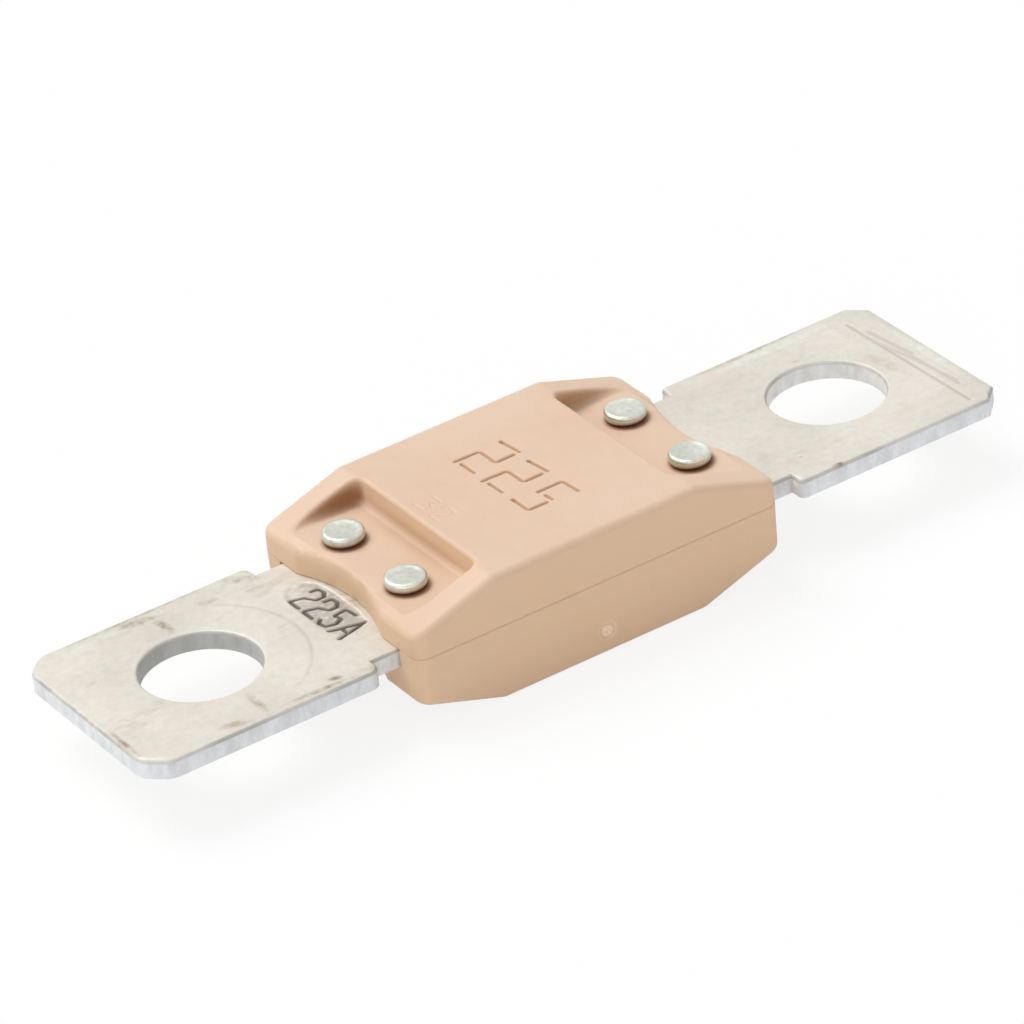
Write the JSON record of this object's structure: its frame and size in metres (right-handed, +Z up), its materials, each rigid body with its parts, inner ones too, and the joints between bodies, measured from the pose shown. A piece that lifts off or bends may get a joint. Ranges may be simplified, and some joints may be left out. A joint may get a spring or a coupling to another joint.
{
  "type": "bolt down strip fuse",
  "caption": "Bolt down strip fuse: a flat metal strip with a stud hole in the wide terminal blade at each end, clamped by rivets between moulded covers that enclose its fusible link.",
  "frame": {"origin": "midway between the stud holes, at the middle of the strip's thickness", "axes": "+X along the strip from stud hole to stud hole, +Y across it, +Z up through the stud holes towards the face with the rating"},
  "size_m": [0.0688, 0.0192, 0.0096],
  "materials": {
    "strip": "dull tin plating, lightly marked",
    "covers": "fine moulded satin",
    "rivets": "bright plated"
  },
  "bodies": {
    "root": {"fuse_strip": "strip", "upper_cover": "covers", "lower_cover": "covers", "rivets": "rivets"}
  },
  "joints": []
}
